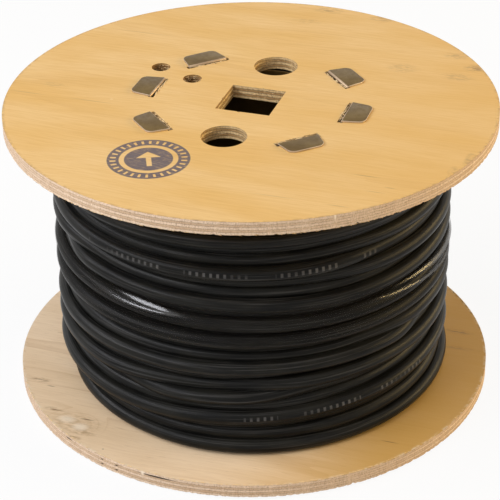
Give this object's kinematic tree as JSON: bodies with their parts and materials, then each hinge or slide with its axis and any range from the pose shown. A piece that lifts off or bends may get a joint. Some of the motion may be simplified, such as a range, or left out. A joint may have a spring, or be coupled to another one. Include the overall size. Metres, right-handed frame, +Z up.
{
  "type": "cable reel",
  "caption": "Plywood cable reel with a folded-tab sheet-steel barrel, a square arbor hole, drive holes and lacing holes, wound with black rubber-covered cable under a strip of clear film.",
  "frame": {"origin": "on the reel's axis, on the floor under the folded tabs of the lower flange", "axes": "+Z up along the reel's axis; X and Y along the sides of the square arbor hole, with the drive holes on Y"},
  "size_m": [0.2, 0.2, 0.1249],
  "materials": {
    "plywood": "bare pale birch veneer, satin, with rough saw-cut edges",
    "sheet_steel": "satin mill finish",
    "cable_rubber": "matte to satin black",
    "clear_film": "clear glossy stretch film"
  },
  "bodies": {
    "root": {"bottom_flange": "plywood", "top_flange": "plywood", "barrel": "sheet_steel", "cable_winding": "cable_rubber", "wrap_film": "clear_film"}
  },
  "joints": []
}
